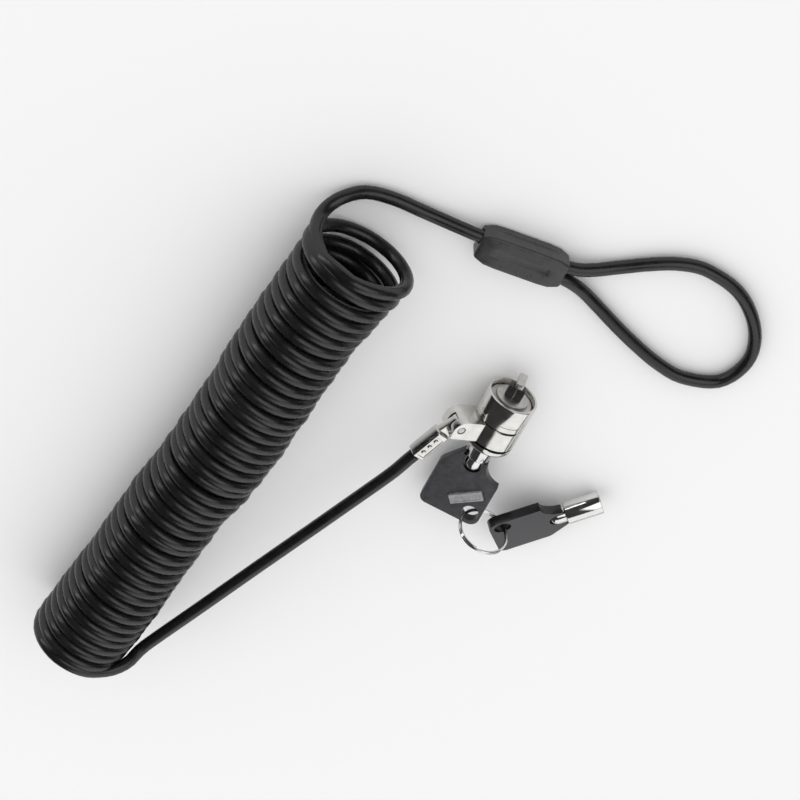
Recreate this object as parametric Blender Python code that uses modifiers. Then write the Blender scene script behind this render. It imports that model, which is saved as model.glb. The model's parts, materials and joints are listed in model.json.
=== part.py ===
# Laptop cable lock: a coiled security cable with a loop at one end and a tubular-key T-bar lock at the other.
# Lengths are written in millimetres and MM turns them into metres, with +Z up.
# The origin is the centre of the T-bar's outer face. The lock cylinder runs from there along +Y.
# The whole lock lies on a table whose top is one lock radius below the cylinder's axis.

import math

import bmesh
import bpy
from mathutils import Matrix, Vector

MM = 0.001
GAP = 0.3

# lock cylinder: radii, and stations along its axis counted from the T-bar's outer face
LOCK_RADIUS = 7.9
NECK_RADIUS = 6.3
INNER_RADIUS = 5.4
RIM_FRONT = 6.4
SHOULDER = 10.5
RING_FRONT = 15.2
NECK_BACK = 22.9
CAP_BACK = 25.4
TABLE = -LOCK_RADIUS

# T-bar and the guard that fills the slot beside it
T_BAR_SIZE = (2.4, 6.4, 1.5)
SPINDLE_RADIUS = 1.1
SPINDLE_BORE = SPINDLE_RADIUS + GAP
SPINDLE_END = 19.0
GUARD_SIZE = (5.2, 2.8)
GUARD_FRONT = 2.9
BOSS_RADIUS = 5.2
BOSS_FRONT = 6.8
NOSE_FRONT = 8.0

# tubular pin lock
STATOR_SPAN = (10.8, 17.2)
PLUG_SPAN = (17.5, 20.3)
CORE_RADIUS = 5.1
POST_RADIUS = 2.6
POST_END = 24.8
PIN_COUNT = 4
PIN_CIRCLE_RADIUS = 3.7
PIN_RADIUS = 0.75
PIN_BORE = PIN_RADIUS + GAP
SPRING_SPAN = (11.8, 13.9)
DRIVER_SPAN = (14.2, 17.2)
KEY_PIN_SPAN = (17.5, 20.3)
STATOR_PIN_STATION = 15.9
STATOR_PIN_RADIUS = 0.55
PIN_TRAVEL = 1.4
SLEEVE_BORE = 4.15

# swivel ring with its forked arm, and the pin that holds the cable's ferrule
ARM_ANGLE = 19.0
ARM_REACH = 15.9
ARM_HALF_HEIGHT = 4.1
ARM_CORNER = 3.8
SLOT_FLOOR = 10.1
SLOT_HALF = 1.45
SLOT_FRONT = 16.5
YOKE_PIN = (13.4, 18.9)
YOKE_PIN_RADIUS = 1.0
RING_BORE = NECK_RADIUS + GAP
RING_SPAN = (RING_FRONT + GAP, NECK_BACK - GAP)

# ferrule, in the plane of the arm: its axis passes beside the pin
FERRULE_DIRECTION = (0.42, 0.907)
FERRULE_OFFSET = 0.9
FERRULE_SPAN = (5.2, 16.4)
FERRULE_SIZE = (4.8, 4.4)
TONGUE_HALF = 1.1
EYE_RADIUS = 2.1
CORE_STRAND_RADIUS = 1.2

# keys: stations are counted from the same face as the lock's, with the key pushed home
KEY_TIP = 20.6
KEY_STEP = 32.0
KEY_NECK_END = 37.2
KEY_BARREL_RADIUS = 3.75
KEY_BARREL_BORE = 3.1
KEY_NECK_RADIUS = 2.6
KEY_HEAD_THICKNESS = 3.0
KEY_HEAD_SIDES = (-9.3, 10.4)
KEY_HEAD_BACK = 55.6
KEY_HOLE = (6.9, 51.5)
KEY_HOLE_RADIUS = 2.7
KEY_ROLL = 194.0
BADGE_CENTRE = (3.3, 46.4)
BADGE_SIZE = (10.6, 3.2, 1.6)
BADGE_SLANT = -39.0
BADGE_PROUD = 1.0

# the spare key lies beside the lock: tip of its barrel, and the ways its bow and its pierced side point
SPARE_TIP = (-44.2, 36.7, -3.9)
SPARE_BOW_WAY = (0.746, 0.653, 0.125)
SPARE_SIDE_WAY = (0.56, -0.72, 0.40)
KEY_RING_RADIUS = 7.8
KEY_RING_SECTION = (0.8, 1.6)
KEY_RING_RISE = (0.0, 0.2, 0.98)

# cable and its coil, whose axis runs level above the table
CABLE_RADIUS = 2.0
COIL_RADIUS = 13.5
COIL_OPEN_END = (64.0, -23.6)
COIL_FAR_END = (87.4, 143.0)
CABLE_ON_TABLE = TABLE + CABLE_RADIUS
ROUTE_STEP = 6.0

# moulded sleeve that closes the loop
SLEEVE_X = (4.5, 31.5)
SLEEVE_Y = -37.6
SLEEVE_SIZE = (10.2, 7.6)
SLEEVE_Z = TABLE + SLEEVE_SIZE[1] / 2
LEAD_SHIFT = -1.65
STUB_SHIFT = 2.35
CRIMP_X = (12.0, 24.0)
JACKET_END_X = 9.0

# cable from the coil's open end, down to the table, through the sleeve, round the loop and back
LOOP_ROUTE = [
    (68.3, -26.6, 20.3),
    (74.6, -27.5, 15.3),
    (77.2, -28.2, 7.6),
    (77.0, -29.4, 1.0),
    (75.4, -31.8, -3.0),
    (71.9, -35.4, -5.3),
    (66.5, -39.0, -5.9),
    (58.3, -40.0, -5.9),
    (50.1, -39.4, -5.9),
    (43.6, -39.1, -5.6),
    (37.5, -39.2, -4.7),
    (31.5, -39.25, -4.1),
    (18.0, -39.25, -4.1),
    (4.5, -39.25, -4.1),
    (-2.2, -40.3, -5.0),
    (-9.6, -43.8, -5.9),
    (-17.6, -48.5, -5.9),
    (-25.4, -52.0, -5.9),
    (-34.0, -53.1, -5.9),
    (-46.4, -49.4, -5.9),
    (-56.3, -40.0, -5.9),
    (-60.2, -29.0, -5.9),
    (-56.2, -18.8, -5.9),
    (-45.5, -15.6, -5.9),
    (-36.5, -17.2, -5.9),
    (-28.1, -20.4, -5.9),
    (-19.1, -24.6, -5.9),
    (-10.1, -29.3, -5.9),
    (-3.4, -32.9, -5.2),
    (2.0, -34.9, -4.3),
    (5.5, -35.25, -4.1),
    (9.0, -35.25, -4.1),
]

# cable from the coil's far end, over its top and then straight to the ferrule
TAIL_ROUTE = [
    (100.6, 143.5, 4.1),
    (100.9, 143.5, 9.9),
    (98.7, 143.8, 15.3),
    (94.4, 144.4, 19.3),
    (88.9, 145.2, 21.0),
    (83.6, 146.1, 20.5),
    (79.1, 147.3, 19.3),
    (74.5, 147.1, 18.0),
    (70.6, 144.3, 15.8),
    (68.8, 139.8, 13.4),
    (66.9, 134.5, 11.6),
    (57.2, 113.8, 10.9),
    (47.5, 93.0, 10.1),
    (37.8, 72.3, 9.4),
    (30.0, 55.6, 8.8),
    (23.9, 42.5, 8.2),
]

PALETTE = {
    "cable_jacket": ((0.012, 0.012, 0.013), 0.25, 0.0),
    "sleeve_plastic": ((0.045, 0.045, 0.05), 0.3, 0.0),
    "steel_strand": ((0.6, 0.6, 0.6), 0.35, 1.0),
    "crimp_metal": ((0.75, 0.75, 0.74), 0.25, 1.0),
    "lock_nickel": ((0.78, 0.77, 0.75), 0.12, 1.0),
    "satin_nickel": ((0.62, 0.6, 0.57), 0.4, 1.0),
    "brass": ((0.72, 0.55, 0.25), 0.3, 1.0),
    "spring_steel": ((0.5, 0.5, 0.52), 0.3, 1.0),
    "key_chrome": ((0.8, 0.8, 0.8), 0.1, 1.0),
    "key_plastic": ((0.05, 0.05, 0.055), 0.5, 0.0),
    "badge_grey": ((0.35, 0.35, 0.36), 0.45, 0.0),
    "ring_nickel": ((0.7, 0.7, 0.7), 0.15, 1.0),
}

lock_parts = None
cutters = None
materials = {}


def prepare_scene():
    global lock_parts, cutters
    for thing in list(bpy.data.objects):
        bpy.data.objects.remove(thing, do_unlink=True)
    lock_parts = bpy.data.collections.new("laptop_cable_lock")
    cutters = bpy.data.collections.new("cutters")
    bpy.context.scene.collection.children.link(lock_parts)
    bpy.context.scene.collection.children.link(cutters)
    for name, (colour, roughness, metallic) in PALETTE.items():
        material = bpy.data.materials.new(name)
        material.use_nodes = True
        shader = material.node_tree.nodes["Principled BSDF"]
        shader.inputs["Base Color"].default_value = (*colour, 1.0)
        shader.inputs["Roughness"].default_value = roughness
        shader.inputs["Metallic"].default_value = metallic
        materials[name] = material


def place_frame(name, matrix, parent=None):
    frame = bpy.data.objects.new(name, None)
    frame.empty_display_size = 5 * MM
    frame.parent = parent
    frame.matrix_local = matrix
    lock_parts.objects.link(frame)
    return frame


def add_part(name, mesh, material, parent=None, location=(0, 0, 0), rotation=(0, 0, 0)):
    part = bpy.data.objects.new(name, mesh)
    part.parent = parent
    part.location = Vector(location) * MM
    part.rotation_euler = rotation
    if not mesh.materials:
        mesh.materials.append(materials[material])
    mesh.shade_smooth()
    mesh.set_sharp_from_angle(angle=math.radians(35))
    lock_parts.objects.link(part)
    return part


def box_mesh(size, centre=(0, 0, 0)):
    mesh = bpy.data.meshes.new("box")
    shape = bmesh.new()
    bmesh.ops.create_cube(shape, size=1.0)
    bmesh.ops.scale(shape, vec=Vector(size) * MM, verts=shape.verts)
    bmesh.ops.translate(shape, vec=Vector(centre) * MM, verts=shape.verts)
    shape.to_mesh(mesh)
    shape.free()
    return mesh


def rod_mesh(radius, start, end, at=(0, 0), sides=24):
    """A round rod along local Z, from start to end."""
    mesh = bpy.data.meshes.new("rod")
    shape = bmesh.new()
    bmesh.ops.create_cone(shape, cap_ends=True, segments=sides, radius1=radius * MM, radius2=radius * MM,
                          depth=(end - start) * MM)
    bmesh.ops.translate(shape, vec=Vector((at[0], at[1], (start + end) / 2)) * MM, verts=shape.verts)
    shape.to_mesh(mesh)
    shape.free()
    return mesh


def outline_mesh(points, low, high):
    """A flat outline in local X and Y, filled and given the thickness from low to high along local Z."""
    curve = bpy.data.curves.new("outline", "CURVE")
    curve.dimensions = "2D"
    curve.fill_mode = "BOTH"
    curve.extrude = (high - low) / 2 * MM
    spline = curve.splines.new("POLY")
    spline.points.add(len(points) - 1)
    for point, (x, y) in zip(spline.points, points):
        point.co = (x * MM, y * MM, 0, 1)
    spline.use_cyclic_u = True
    guide = bpy.data.objects.new("outline", curve)
    bpy.context.scene.collection.objects.link(guide)
    ready = guide.evaluated_get(bpy.context.evaluated_depsgraph_get())
    mesh = bpy.data.meshes.new_from_object(ready)
    bpy.data.objects.remove(guide, do_unlink=True)
    shape = bmesh.new()
    shape.from_mesh(mesh)
    bmesh.ops.remove_doubles(shape, verts=shape.verts, dist=0.00001)
    bmesh.ops.translate(shape, vec=(0, 0, (low + high) / 2 * MM), verts=shape.verts)
    bmesh.ops.recalc_face_normals(shape, faces=shape.faces)
    shape.to_mesh(mesh)
    shape.free()
    return mesh


def add_cutter(name, mesh, parent=None, location=(0, 0, 0), rotation=(0, 0, 0)):
    cutter = bpy.data.objects.new(name, mesh)
    cutter.parent = parent
    cutter.location = Vector(location) * MM
    cutter.rotation_euler = rotation
    cutter.hide_render = True
    cutter.display_type = "WIRE"
    cutters.objects.link(cutter)
    return cutter


def combine(part, tool, operation="DIFFERENCE"):
    step = part.modifiers.new(tool.name, "BOOLEAN")
    step.operation = operation
    step.object = tool
    step.solver = "EXACT"


def round_edges(part, width, angle=40, segments=2):
    bevel = part.modifiers.new("rounded edges", "BEVEL")
    bevel.width = width * MM
    bevel.segments = segments
    bevel.limit_method = "ANGLE"
    bevel.angle_limit = math.radians(angle)
    bevel.use_clamp_overlap = True


def turned_part(name, profile, material, parent, steps=48, closed=False):
    """A turned piece. Its profile lists (radius, station) pairs, running down the outer side."""
    mesh = bpy.data.meshes.new(name)
    shape = bmesh.new()
    corners = [shape.verts.new((radius * MM, 0, station * MM)) for radius, station in profile]
    pairs = list(zip(corners, corners[1:]))
    if closed:
        pairs.append((corners[-1], corners[0]))
    for pair in pairs:
        shape.edges.new(pair)
    shape.to_mesh(mesh)
    shape.free()
    part = add_part(name, mesh, material, parent)
    screw = part.modifiers.new("turned", "SCREW")
    screw.axis = "Z"
    screw.steps = steps
    screw.render_steps = steps
    screw.use_merge_vertices = True
    screw.merge_threshold = 0.00001
    screw.use_smooth_shade = True
    return part


def arc(centre, radius, start, end, steps):
    turns = [math.radians(start + (end - start) * k / steps) for k in range(steps + 1)]
    return [(centre[0] + radius * math.cos(t), centre[1] + radius * math.sin(t)) for t in turns]


def smooth_route(points, step=ROUTE_STEP):
    """Evenly spaced points on a Catmull-Rom curve through a route's own points."""
    route = [Vector(p) for p in points]
    route = [2 * route[0] - route[1]] + route + [2 * route[-1] - route[-2]]
    fine = []
    for before, start, end, after in zip(route, route[1:], route[2:], route[3:]):
        for k in range(20):
            t = k / 20
            bend = 2 * before - 5 * start + 4 * end - after
            twist = 3 * start - before - 3 * end + after
            fine.append((2 * start + (end - before) * t + bend * t * t + twist * t ** 3) / 2)
    return spaced(fine + [route[-2]], step)


def spaced(points, step):
    total = sum((b - a).length for a, b in zip(points, points[1:]))
    count = round(total / step)
    targets = [total * k / count for k in range(1, count)]
    chosen = [points[0]]
    walked = 0.0
    for a, b in zip(points, points[1:]):
        length = (b - a).length
        while targets and walked + length >= targets[0]:
            chosen.append(a.lerp(b, (targets.pop(0) - walked) / length))
        walked += length
    return chosen + [points[-1]]


def cable_part(name, points):
    curve = bpy.data.curves.new(name, "CURVE")
    curve.dimensions = "3D"
    curve.bevel_depth = CABLE_RADIUS * MM
    curve.bevel_resolution = 3
    curve.use_fill_caps = True
    curve.materials.append(materials["cable_jacket"])
    spline = curve.splines.new("POLY")
    route = smooth_route(points)
    spline.points.add(len(route) - 1)
    for point, place in zip(spline.points, route):
        point.co = (*(place * MM), 1)
    part = bpy.data.objects.new(name, curve)
    lock_parts.objects.link(part)


def axis_matrix(way, side, at):
    """A frame whose Z points along way and whose X is side, made square to it."""
    z_axis = Vector(way).normalized()
    x_axis = (Vector(side) - Vector(side).dot(z_axis) * z_axis).normalized()
    y_axis = z_axis.cross(x_axis)
    turn = Matrix((x_axis, y_axis, z_axis)).transposed().to_4x4()
    return Matrix.Translation(Vector(at) * MM) @ turn


def make_coil(cable_frame):
    open_end = Vector((*COIL_OPEN_END, TABLE + COIL_RADIUS + CABLE_RADIUS))
    far_end = Vector((*COIL_FAR_END, TABLE + COIL_RADIUS + CABLE_RADIUS))
    frame = place_frame("coil_axis", axis_matrix(far_end - open_end, (0, 0, 1), open_end), cable_frame)
    length = (far_end - open_end).length
    inner = COIL_RADIUS - CABLE_RADIUS
    outer = COIL_RADIUS + CABLE_RADIUS
    profile = [(outer, length), (outer, 0), (inner, 0), (inner, length)]
    turned_part("cable_coil", profile, "cable_jacket", frame, steps=40, closed=True)


def make_sleeve(cable_frame):
    middle = (sum(SLEEVE_X) / 2, SLEEVE_Y, SLEEVE_Z)
    length = SLEEVE_X[1] - SLEEVE_X[0]
    lead = (LEAD_SHIFT, CABLE_RADIUS + GAP)
    stub = (STUB_SHIFT, CORE_STRAND_RADIUS + GAP)
    along = (0, math.radians(90), 0)

    cover = add_part("loop_cover", box_mesh((length, *SLEEVE_SIZE)), "sleeve_plastic", cable_frame, middle)
    round_edges(cover, 2.6, segments=2)
    crimp_length = CRIMP_X[1] - CRIMP_X[0]
    crimp_middle = sum(CRIMP_X) / 2 - middle[0]
    pocket = box_mesh((crimp_length + 2 * GAP, 9.2, 5.4), (crimp_middle, 0, 0))
    combine(cover, add_cutter("crimp_pocket", pocket, cable_frame, middle))
    lead_hole = rod_mesh(lead[1], -length, length, (0, lead[0]))
    combine(cover, add_cutter("lead_hole", lead_hole, cable_frame, middle, along))
    mouth = rod_mesh(CABLE_RADIUS + GAP, -length, CRIMP_X[0] - middle[0], (0, STUB_SHIFT))
    combine(cover, add_cutter("stub_hole", mouth, cable_frame, middle, along))

    crimp = add_part("loop_crimp", box_mesh((crimp_length, 8.6, 4.9)), "crimp_metal", cable_frame,
                     (sum(CRIMP_X) / 2, SLEEVE_Y, SLEEVE_Z))
    round_edges(crimp, 1.6, segments=1)
    for name, (shift, radius) in (("crimp_lead_bore", lead), ("crimp_stub_bore", stub)):
        bore = rod_mesh(radius, -length, length, (0, shift))
        combine(crimp, add_cutter(name, bore, cable_frame, crimp.location / MM, along))

    strand = rod_mesh(CORE_STRAND_RADIUS, JACKET_END_X + GAP, CRIMP_X[1] - 1.0, sides=16)
    add_part("loop_core_strand", strand, "steel_strand", cable_frame,
             (0, SLEEVE_Y + STUB_SHIFT, SLEEVE_Z), along)


def in_arm(reach, station, height=0.0):
    """A place in the arm's plane: distance from the lock's axis, station along it, height off the plane."""
    turn = math.radians(ARM_ANGLE)
    return Vector((
        reach * math.cos(turn) - height * math.sin(turn),
        station,
        reach * math.sin(turn) + height * math.cos(turn),
    ))


def ferrule_point(distance, aside=0.0):
    """A point of the ferrule's axis, counted from beside the pin, in the arm's plane."""
    ahead, beside = FERRULE_DIRECTION, (FERRULE_DIRECTION[1], -FERRULE_DIRECTION[0])
    return tuple(
        YOKE_PIN[k] + (FERRULE_OFFSET + aside) * beside[k] + distance * ahead[k] for k in (0, 1)
    )


def arm_plane_frame(name, parent):
    """A frame on the pin's axis: X away from the lock's axis, Y along the lock, Z along the pin."""
    turn = Matrix.Rotation(math.radians(-ARM_ANGLE), 4, "Y")
    return place_frame(name, Matrix.Translation(in_arm(*YOKE_PIN) * MM) @ turn, parent)


def make_ferrule(cable_frame):
    frame = arm_plane_frame("ferrule_frame", cable_frame)
    lean = math.atan2(FERRULE_DIRECTION[1], FERRULE_DIRECTION[0])
    start, end = FERRULE_SPAN
    half = FERRULE_SIZE[0] / 2
    shoulder = [ferrule_point(start + 1.0, side) for side in (-half + 0.3, half - 0.3)]
    eye_start = math.degrees(lean) + 80
    eye = arc((0, 0), EYE_RADIUS, eye_start, eye_start + 200, 14)
    near = [(p[0] - YOKE_PIN[0], p[1] - YOKE_PIN[1]) for p in shoulder]
    ferrule = add_part("cable_ferrule", outline_mesh(eye + near[::-1], -TONGUE_HALF, TONGUE_HALF),
                       "crimp_metal", frame)
    middle = ferrule_point((start + end) / 2)
    place = (middle[0] - YOKE_PIN[0], middle[1] - YOKE_PIN[1], 0)
    block = box_mesh((end - start, *FERRULE_SIZE))
    combine(ferrule, add_cutter("ferrule_block", block, frame, place, (0, 0, lean)), "UNION")
    combine(ferrule, add_cutter("eye_hole", rod_mesh(YOKE_PIN_RADIUS + GAP, -6, 6), frame))
    tail = ferrule_point(end)
    core_place = (tail[0] - YOKE_PIN[0], tail[1] - YOKE_PIN[1], 0)
    core_turn = (0, math.radians(90), lean)
    core_hole = rod_mesh(CORE_STRAND_RADIUS + GAP, -8.8, 2.0, sides=16)
    combine(ferrule, add_cutter("core_hole", core_hole, frame, core_place, core_turn))
    add_part("tail_core_strand", rod_mesh(CORE_STRAND_RADIUS, -8.4, 0, sides=16), "steel_strand",
             frame, core_place, core_turn)


def make_cable():
    cable_frame = place_frame("cable", Matrix.Identity(4))
    make_coil(cable_frame)
    make_sleeve(cable_frame)
    make_ferrule(cable_frame)
    cable_part("cable_loop", LOOP_ROUTE)
    ahead = FERRULE_SPAN[1] + GAP
    arrival = [tuple(in_arm(*ferrule_point(distance))) for distance in (ahead + 3.5, ahead)]
    cable_part("cable_tail", TAIL_ROUTE + arrival)


def make_yoke():
    yoke = arm_plane_frame("yoke_pivot", None)
    root = place_frame("yoke_centre", Matrix.Translation((-YOKE_PIN[0] * MM, -YOKE_PIN[1] * MM, 0)), yoke)
    along_lock = (math.radians(-90), 0, 0)
    front, back = RING_SPAN
    arm_outline = [(NECK_RADIUS, back - 0.1), (NECK_RADIUS, front + 0.1)]
    corner = (ARM_REACH - ARM_CORNER, front + 0.1 + ARM_CORNER)
    arm_outline += arc(corner, ARM_CORNER, -90, 0, 8)
    arm_outline += arc((ARM_REACH - 0.8, back - 0.9), 0.8, 0, 90, 3)
    ring = add_part("swivel_ring", outline_mesh(arm_outline, -ARM_HALF_HEIGHT, ARM_HALF_HEIGHT),
                    "lock_nickel", root)
    band = rod_mesh(LOCK_RADIUS, front, back, sides=48)
    combine(ring, add_cutter("ring_band", band, root, rotation=along_lock), "UNION")
    bore = rod_mesh(RING_BORE, front - 2, back + 2, sides=48)
    combine(ring, add_cutter("ring_bore", bore, root, rotation=along_lock))
    slot = box_mesh((12, 12, 2 * SLOT_HALF), (SLOT_FLOOR + 6, SLOT_FRONT + 6, 0))
    combine(ring, add_cutter("yoke_slot", slot, root))
    pin_hole = rod_mesh(YOKE_PIN_RADIUS + GAP, -9, 9)
    combine(ring, add_cutter("yoke_pin_hole", pin_hole, root, (*YOKE_PIN, 0)))
    add_part("yoke_pin", rod_mesh(YOKE_PIN_RADIUS, -ARM_HALF_HEIGHT + 0.1, ARM_HALF_HEIGHT - 0.1),
             "satin_nickel", yoke)


def pin_places():
    turns = [math.radians(KEY_ROLL + 45 + 360 * k / PIN_COUNT) for k in range(PIN_COUNT)]
    return [(PIN_CIRCLE_RADIUS * math.cos(t), PIN_CIRCLE_RADIUS * math.sin(t)) for t in turns]


def make_lock(lock_axis):
    body = turned_part("lock_body", [
        (INNER_RADIUS, NECK_BACK), (NECK_RADIUS, NECK_BACK), (NECK_RADIUS, RING_FRONT),
        (LOCK_RADIUS, RING_FRONT), (LOCK_RADIUS, RIM_FRONT + 0.4), (LOCK_RADIUS - 0.4, RIM_FRONT),
        (LOCK_RADIUS - 0.9, RIM_FRONT), (LOCK_RADIUS - 0.9, SHOULDER), (INNER_RADIUS, SHOULDER),
    ], "lock_nickel", lock_axis, steps=48, closed=True)
    cross_hole = rod_mesh(STATOR_PIN_RADIUS + GAP, -9, 9, sides=16)
    sideways = (0, math.radians(90), 0)
    at_pin = (0, 0, STATOR_PIN_STATION)
    combine(body, add_cutter("stator_pin_hole", cross_hole, lock_axis, at_pin, sideways))

    turned_part("rear_cap", [
        (4.05, CAP_BACK), (6.8, CAP_BACK), (LOCK_RADIUS, CAP_BACK - 1.1), (LOCK_RADIUS, NECK_BACK + GAP),
        (4.05, NECK_BACK + GAP),
    ], "lock_nickel", lock_axis, steps=48, closed=True)

    roll = place_frame("nose_roll", Matrix.Rotation(math.radians(KEY_ROLL), 4, "Z"), lock_axis)
    nose = turned_part("nose_plate", [
        (0, SHOULDER - GAP), (6.7, SHOULDER - GAP), (6.7, NOSE_FRONT), (BOSS_RADIUS, NOSE_FRONT),
        (BOSS_RADIUS, BOSS_FRONT + 0.3), (BOSS_RADIUS - 0.3, BOSS_FRONT), (0, BOSS_FRONT),
    ], "satin_nickel", roll, steps=48)
    guard = box_mesh((*GUARD_SIZE, BOSS_FRONT + 0.5 - GUARD_FRONT), (0, 0, (GUARD_FRONT + BOSS_FRONT + 0.5) / 2))
    combine(nose, add_cutter("guard_block", guard, roll), "UNION")
    combine(nose, add_cutter("spindle_hole", rod_mesh(SPINDLE_BORE, 0, SHOULDER + 1), roll))

    stator = add_part("stator", rod_mesh(CORE_RADIUS, *STATOR_SPAN, sides=32), "brass", roll)
    combine(stator, add_cutter("stator_spindle_hole", rod_mesh(SPINDLE_BORE, 9, 19), roll))
    cross_cut = rod_mesh(STATOR_PIN_RADIUS + GAP, 2.2, 9, sides=16)
    combine(stator, add_cutter("stator_cross_hole", cross_cut, lock_axis, at_pin, sideways))
    for n, place in enumerate(pin_places(), 1):
        chamber = rod_mesh(PIN_BORE, SPRING_SPAN[0] - GAP, 19, place, sides=16)
        combine(stator, add_cutter(f"driver_chamber_{n}", chamber, lock_axis))
    add_part("stator_pin", rod_mesh(STATOR_PIN_RADIUS, 2.6, NECK_RADIUS - 0.1, sides=16), "spring_steel", lock_axis,
             at_pin, sideways)

    pin_stop = PLUG_SPAN[1] + PIN_TRAVEL + 0.4
    clear_of_pins = PIN_CIRCLE_RADIUS + PIN_RADIUS + GAP
    turned_part("retaining_sleeve", [
        (SLEEVE_BORE, NECK_BACK), (CORE_RADIUS, NECK_BACK), (CORE_RADIUS, PLUG_SPAN[1] + GAP),
        (clear_of_pins, PLUG_SPAN[1] + GAP), (clear_of_pins, pin_stop), (SLEEVE_BORE, pin_stop),
    ], "brass", lock_axis, steps=32, closed=True)

    for n, place in enumerate(pin_places(), 1):
        coil_spring(f"driver_spring_{n}", place, lock_axis)
    drivers = place_frame("driver_pins", Matrix.Identity(4), lock_axis)
    for n, place in enumerate(pin_places(), 1):
        add_part(f"driver_pin_{n}", rod_mesh(PIN_RADIUS, *DRIVER_SPAN, place, sides=16), "brass", drivers)


def coil_spring(name, place, parent, turns=3, wire=0.18):
    """A helix of wire that fills the chamber behind one driver pin."""
    curve = bpy.data.curves.new(name, "CURVE")
    curve.dimensions = "3D"
    curve.bevel_depth = wire * MM
    curve.bevel_resolution = 0
    curve.use_fill_caps = True
    curve.materials.append(materials["spring_steel"])
    spline = curve.splines.new("POLY")
    count = turns * 8
    spline.points.add(count)
    low, high = SPRING_SPAN[0] + 2 * wire, SPRING_SPAN[1] - wire
    radius = PIN_RADIUS - wire
    for k, point in enumerate(spline.points):
        turn = 2 * math.pi * k / 8
        station = low + (high - low) * k / count
        x, y = place[0] + radius * math.cos(turn), place[1] + radius * math.sin(turn)
        point.co = (x * MM, y * MM, station * MM, 1)
    spring = bpy.data.objects.new(name, curve)
    spring.parent = parent
    lock_parts.objects.link(spring)


def make_plug(lock_axis):
    """The turning core: T-bar with its spindle, and the plug that carries the key pins."""
    plug_frame = place_frame("plug_turn", Matrix.Rotation(math.radians(KEY_ROLL), 4, "Z"), lock_axis)
    wide, long, thick = T_BAR_SIZE
    t_bar = add_part("t_bar", box_mesh(T_BAR_SIZE, (0, 0, thick / 2)), "satin_nickel", plug_frame)
    round_edges(t_bar, 0.3)
    spindle = rod_mesh(SPINDLE_RADIUS, thick - 0.4, SPINDLE_END)
    combine(t_bar, add_cutter("spindle_shaft", spindle, plug_frame), "UNION")

    plug = add_part("plug", rod_mesh(CORE_RADIUS, *PLUG_SPAN, sides=32), "brass", plug_frame)
    post = rod_mesh(POST_RADIUS, PLUG_SPAN[1] - 1, POST_END)
    combine(plug, add_cutter("plug_post", post, plug_frame), "UNION")
    combine(plug, add_cutter("plug_spindle_hole", rod_mesh(SPINDLE_BORE, 16, SPINDLE_END + GAP), plug_frame))
    pins = place_frame("key_pins", Matrix.Rotation(math.radians(-KEY_ROLL), 4, "Z"), plug_frame)
    for n, place in enumerate(pin_places(), 1):
        chamber = rod_mesh(PIN_BORE, 16, 22, place, sides=16)
        combine(plug, add_cutter(f"key_chamber_{n}", chamber, pins))
        add_part(f"key_pin_{n}", rod_mesh(PIN_RADIUS, *KEY_PIN_SPAN, place, sides=16), "brass", pins)
    return plug_frame


def key_head_outline():
    (low, high), back = KEY_HEAD_SIDES, KEY_HEAD_BACK
    notch = KEY_NECK_RADIUS + GAP
    wide = KEY_BARREL_RADIUS + GAP
    left = [(-wide, 31.0), (low + 0.5, 38.0), (low, 39.2), (low, back - 2.5)]
    far = arc((low + 2.5, back - 2.5), 2.5, 180, 90, 4) + arc((high - 3.0, back - 3.0), 3.0, 90, 0, 5)
    right = arc((high + 0.1, 32.3), 6.3, 92, 168, 6)
    bottom = [(wide, KEY_STEP + 2 * GAP), (notch, KEY_STEP + 2 * GAP)]
    bow = arc((0, KEY_NECK_END - KEY_NECK_RADIUS), notch, 0, 180, 12)
    return left + far[1:] + right + bottom + bow + [(-notch, KEY_STEP + 2 * GAP), (-wide, KEY_STEP + 2 * GAP)]


def make_key(prefix, key_frame):
    """A key whose local Z runs from the barrel's tip to the bow, and X towards the pierced side."""
    flat = (math.radians(90), 0, 0)
    dome = arc((0, KEY_NECK_END - KEY_NECK_RADIUS), KEY_NECK_RADIUS, 90, 0, 4)
    barrel = turned_part(prefix + "_barrel", [(0, KEY_NECK_END)] + dome[1:] + [
        (KEY_NECK_RADIUS, KEY_STEP), (KEY_BARREL_RADIUS, KEY_STEP), (KEY_BARREL_RADIUS, KEY_TIP),
        (KEY_BARREL_BORE, KEY_TIP), (KEY_BARREL_BORE, 30.2), (0, 30.2),
    ], "key_chrome", key_frame, steps=32)
    notch = box_mesh((1.2, 4, 3.0), (0, KEY_BARREL_RADIUS, KEY_TIP))
    combine(barrel, add_cutter(prefix + "_tip_notch", notch, key_frame))

    thick = KEY_HEAD_THICKNESS / 2
    head = add_part(prefix + "_head", outline_mesh(key_head_outline(), -thick, thick), "key_plastic",
                    key_frame, rotation=flat)
    hole = rod_mesh(KEY_HOLE_RADIUS, -6, 6, KEY_HOLE)
    combine(head, add_cutter(prefix + "_ring_hole", hole, key_frame, rotation=flat))
    width, depth, height = BADGE_SIZE
    slant = math.radians(BADGE_SLANT)
    pocket_size = (width + 2 * GAP, depth + 2 * GAP, 4.0)
    pocket_turn = place_frame(prefix + "_badge_frame", Matrix.Translation(
        (BADGE_CENTRE[0] * MM, (thick + BADGE_PROUD) * MM, BADGE_CENTRE[1] * MM))
        @ Matrix.Rotation(math.radians(90), 4, "X") @ Matrix.Rotation(slant, 4, "Z"), key_frame)
    pocket = box_mesh(pocket_size, (0, 0, height + GAP - 2.0))
    combine(head, add_cutter(prefix + "_badge_pocket", pocket, pocket_turn))
    add_part(prefix + "_badge", box_mesh(BADGE_SIZE, (0, 0, height / 2)), "badge_grey", pocket_turn)


def hole_place(key_frame_matrix):
    x, station = KEY_HOLE
    return key_frame_matrix @ Vector((x * MM, 0, station * MM)) / MM


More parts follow.
